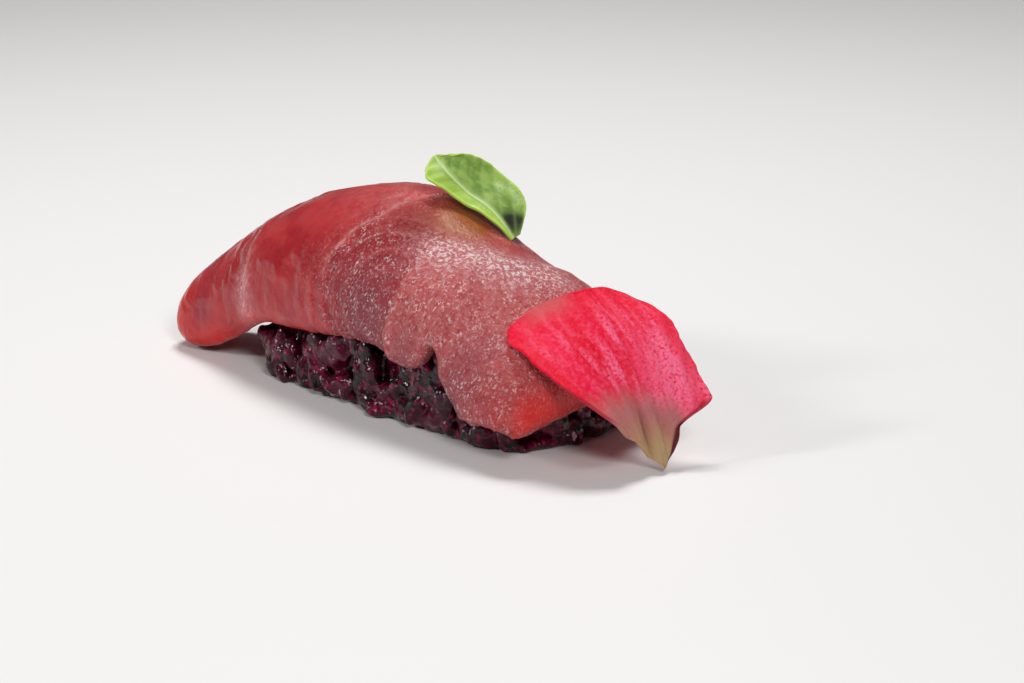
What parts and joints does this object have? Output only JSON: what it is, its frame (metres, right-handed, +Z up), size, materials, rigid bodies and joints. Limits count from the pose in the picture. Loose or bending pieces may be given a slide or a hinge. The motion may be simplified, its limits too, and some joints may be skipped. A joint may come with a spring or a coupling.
{
  "type": "tuna nigiri",
  "caption": "Piece of nigiri sushi: a long slice of raw tuna draped over a block of dark purple rice, dressed with a small green leaf and a pink petal leaning on one end.",
  "frame": {"origin": "on the flat base of the block of rice, near its middle", "axes": "+X along the block towards the petal, -Y towards the pictured side, +Z up; the base lies on Z = 0"},
  "size_m": [0.0886, 0.028, 0.0324],
  "materials": {
    "tuna": "wet raw fish, translucent, red at the tongue and pale pink elsewhere",
    "rice": "wet cooked dark purple rice",
    "leaf": "fresh leaf, smooth with a soft sheen",
    "petal": "flower petal, soft and streaked, pale at its tip"
  },
  "bodies": {
    "root": {"tuna_slice": "tuna", "rice": "rice", "leaf": "leaf", "petal": "petal"}
  },
  "joints": []
}
